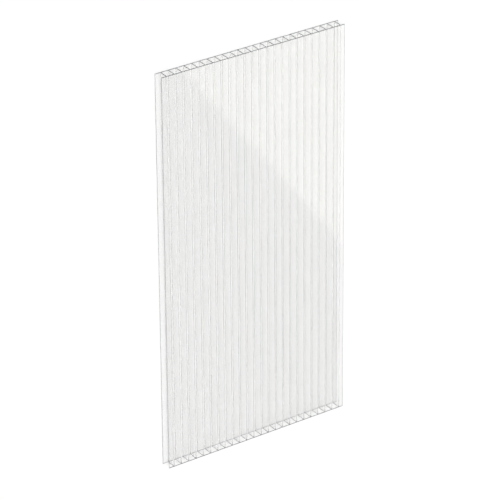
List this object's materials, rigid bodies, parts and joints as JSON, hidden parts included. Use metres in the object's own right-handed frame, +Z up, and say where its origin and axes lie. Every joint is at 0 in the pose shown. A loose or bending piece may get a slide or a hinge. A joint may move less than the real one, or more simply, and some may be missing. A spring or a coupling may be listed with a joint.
{
  "type": "multiwall polycarbonate sheet",
  "caption": "Flat clear glazing pane, extruded as two thin skins joined by upright webs, open at both ends, with its long edges sawn through a flute.",
  "frame": {"origin": "middle of the underside, on the floor that the sheet lies on", "axes": "+X across the webs, +Y along the flutes (the length), +Z up through the thickness"},
  "size_m": [0.605, 1.21, 0.032],
  "materials": {
    "clear_polycarbonate": "gloss"
  },
  "bodies": {
    "root": {"twin_wall_sheet": "clear_polycarbonate"}
  },
  "joints": []
}
